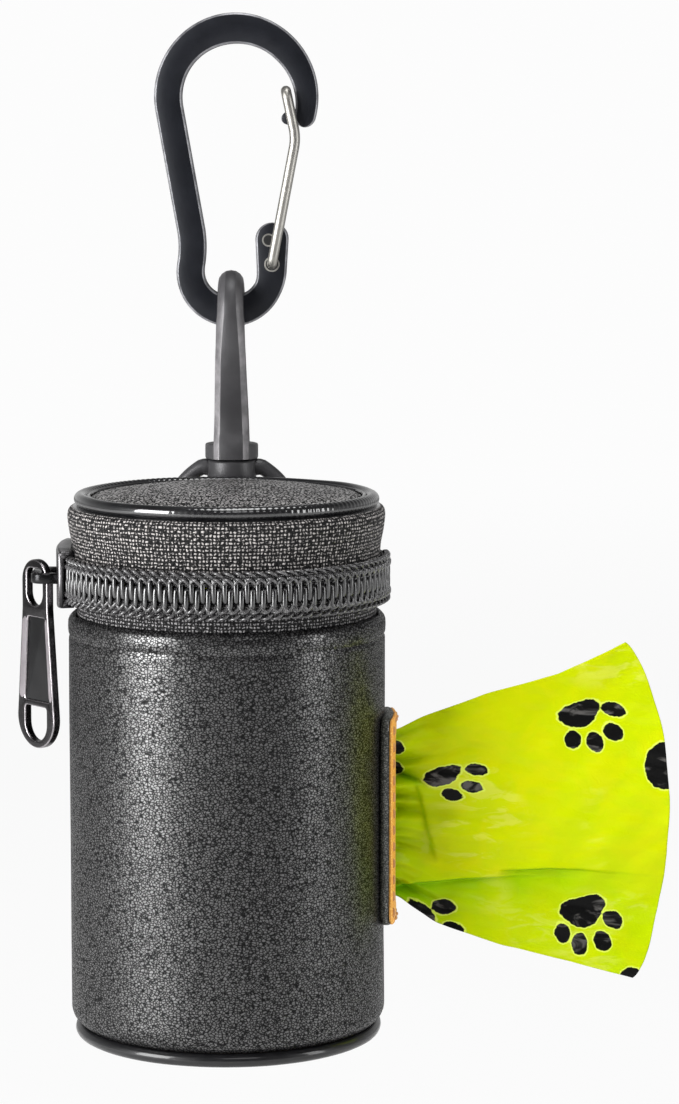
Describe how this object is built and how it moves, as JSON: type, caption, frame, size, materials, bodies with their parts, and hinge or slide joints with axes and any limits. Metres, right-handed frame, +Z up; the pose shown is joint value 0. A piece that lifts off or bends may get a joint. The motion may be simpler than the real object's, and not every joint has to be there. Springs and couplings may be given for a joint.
{
  "type": "dog poop bag dispenser",
  "caption": "Leather pouch for a roll of dog waste bags, with a zipped lid, a side slot the bags pull through, and a swivelling snap hook on a wire-gate clip.",
  "frame": {"origin": "centre of the carabiner's bow, where a leash or ring hangs it", "axes": "+Z up along the hanging object, +X towards the slot and the bags, -Y towards the side the pouch hangs on, with the carabiner in the X-Z plane"},
  "size_m": [0.0929, 0.0553, 0.1464],
  "materials": {
    "anodised_bar": "black anodised with bright chamfers",
    "steel_wire": "drawn stainless wire",
    "cast_metal": "satin black coating on cast zinc",
    "slider_metal": "glossy black lacquer on die-cast metal",
    "black_leather": "grained black leather",
    "piping": "glossy coated piping",
    "zip_tape": "woven black tape",
    "zip_teeth": "glossy black moulded coil",
    "stiffener": "grey-brown board",
    "padding": "soft felted padding",
    "lining": "woven lining",
    "tan_leather": "smooth tan leather with a raw edge",
    "tan_thread": "waxed thread",
    "black_thread": "waxed thread",
    "roll_card": "plain card tube",
    "bag_film": "thin glossy printed film"
  },
  "bodies": {
    "carabiner": {"carabiner_frame": "anodised_bar"},
    "gate": {"gate_wire": "steel_wire"},
    "hook": {"hook_body": "cast_metal", "latch_pin": "steel_wire", "swivel_rivet": "cast_metal"},
    "latch": {"hook_latch": "cast_metal"},
    "loop": {"swivel_loop": "cast_metal"},
    "lid": {"hang_tab": "black_leather", "lid_piping": "piping", "lid_leather": "black_leather", "lid_padding": "padding", "lid_board": "stiffener", "lid_lining": "lining", "zip_tape_upper": "zip_tape", "zip_teeth_upper": "zip_teeth", "top_stop_upper": "slider_metal"},
    "pouch": {"body_leather": "black_leather", "body_board": "stiffener", "body_lining": "lining", "zip_tape_lower": "zip_tape", "zip_teeth_lower": "zip_teeth", "top_stop_lower": "slider_metal", "bottom_stop": "slider_metal", "base_leather": "black_leather", "base_piping": "piping", "base_board": "stiffener", "base_lining": "lining", "slot_patch_backing": "black_leather", "slot_patch_face": "tan_leather", "slot_stitches": "tan_thread", "hinge_strap": "black_leather", "strap_stitches": "black_thread"},
    "slider": {"slider_body": "slider_metal", "slider_crown": "slider_metal"},
    "pull": {"pull_tab": "slider_metal"},
    "roll": {"roll_core": "roll_card", "roll_film": "bag_film"},
    "tail": {"bag_tail": "bag_film"}
  },
  "joints": [
    {"name": "gate_pivot", "type": "hinge", "parent": "carabiner", "child": "gate", "pos_m": [0.0052, 0, -0.02455], "axis": [0, -1, 0], "range_deg": [0, 25], "stiffness_Nm_per_rad": 0.02},
    {"name": "hook_swing", "type": "hinge", "parent": "carabiner", "child": "hook", "pos_m": [-0.0009, 0, -0.03185], "axis": [1, 0, 0], "range_deg": [-60, 60]},
    {"name": "latch_flex", "type": "hinge", "parent": "hook", "child": "latch", "pos_m": [-0.0009, 0.0038, -0.04785], "axis": [1, 0, 0], "range_deg": [0, 20], "stiffness_Nm_per_rad": 0.02},
    {"name": "hook_swivel", "type": "hinge", "parent": "hook", "child": "loop", "pos_m": [-0.0009, 0, -0.05515], "axis": [0, 0, 1], "continuous": true},
    {"name": "loop_pivot", "type": "hinge", "parent": "loop", "child": "lid", "pos_m": [-0.0009, 0, -0.06065], "axis": [1, 0, 0], "range_deg": [0, 60]},
    {"name": "lid_hinge", "type": "hinge", "parent": "lid", "child": "pouch", "pos_m": [-0.0009, -0.00235, -0.06785], "axis": [1, 0, 0], "range_deg": [0, 80], "deforming": ["zip_teeth_upper", "zip_tape_upper", "top_stop_upper"]},
    {"name": "zip_travel", "type": "hinge", "parent": "pouch", "child": "slider", "pos_m": [-0.0009, -0.02555, -0.06785], "axis": [0, 0, 1], "range_deg": [0, 150], "deforming": ["zip_teeth_lower"]},
    {"name": "pull_swing", "type": "hinge", "parent": "slider", "child": "pull", "pos_m": [-0.02795, -0.02555, -0.06785], "axis": [0, 1, 0], "range_deg": [0, 100]},
    {"name": "roll_spin", "type": "hinge", "parent": "pouch", "child": "roll", "pos_m": [-0.0009, -0.02555, -0.10075], "axis": [0, 0, 1], "range_deg": [0, 80]},
    {"name": "bag_pull", "type": "slide", "parent": "pouch", "child": "tail", "axis": [1, 0, 0], "range_m": [0, 0.025]}
  ],
  "couplings": [
    {"joint": "zip_travel", "follows": "lid_hinge", "ratio": 1.875},
    {"joint": "bag_pull", "follows": "roll_spin", "m_per_rad": 0.0172}
  ]
}
